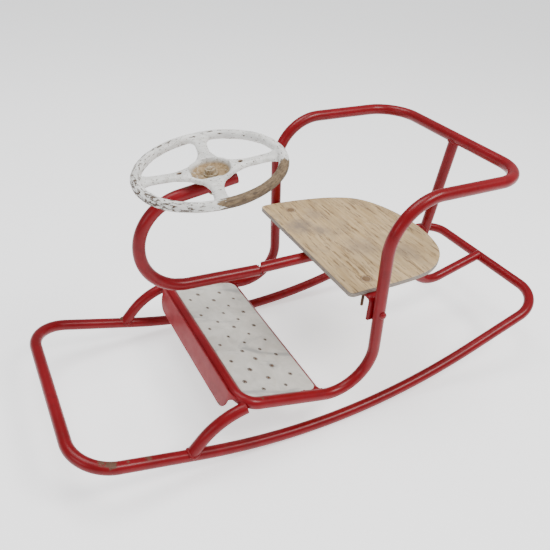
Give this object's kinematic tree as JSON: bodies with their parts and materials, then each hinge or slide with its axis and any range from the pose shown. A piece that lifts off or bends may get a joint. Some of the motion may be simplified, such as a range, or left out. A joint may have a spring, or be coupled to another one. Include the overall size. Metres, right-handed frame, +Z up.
{
  "type": "playground rocker seat",
  "caption": "Child's rocking seat in a bent-tube frame on two rocker rails, with a turning steering wheel, armrests, a plywood seat and a footplate.",
  "frame": {"origin": "centre of the bounding box, on the floor", "axes": "+X to the rider's left, +Y to the rear, +Z up"},
  "size_m": [0.428, 1.0478, 0.5158],
  "materials": {
    "red_paint": "glossy, worn",
    "faded_red_paint": "satin, faded and scuffed",
    "plywood": "weathered, matt",
    "bolt_steel": "dark, rusted",
    "plate": "pale, smeared, satin",
    "wheel_paint": "chipped off-white paint over rusty iron",
    "bush_brass": "dull"
  },
  "bodies": {
    "frame": {"rocker_frame": "red_paint", "seat_frame": "red_paint", "left_strut": "red_paint", "right_strut": "red_paint", "steering_column": "red_paint", "spine_tube": "red_paint", "back_post": "red_paint", "seat_crossbar": "red_paint", "seat_board": "plywood", "seat_bolts": "bolt_steel", "seat_bolt_washers": "bolt_steel", "seat_bolt_nuts": "bolt_steel", "crossbar_bolts": "red_paint", "crossbar_bolt_washers": "bolt_steel", "crossbar_bolt_nuts": "bolt_steel", "footplate": "plate", "footplate_strip": "red_paint", "front_skirt": "faded_red_paint", "wheel_spindle": "bolt_steel", "lower_wheel_washer": "bolt_steel", "upper_wheel_washer": "bolt_steel", "spindle_nut": "bolt_steel"},
    "wheel": {"steering_wheel": "wheel_paint", "wheel_bush": "bush_brass"}
  },
  "joints": [
    {"name": "steering_wheel_turn", "type": "hinge", "parent": "frame", "child": "wheel", "pos_m": [0, -0.20311, 0.45336], "axis": [0, -0.1748, 0.9846], "continuous": true}
  ]
}
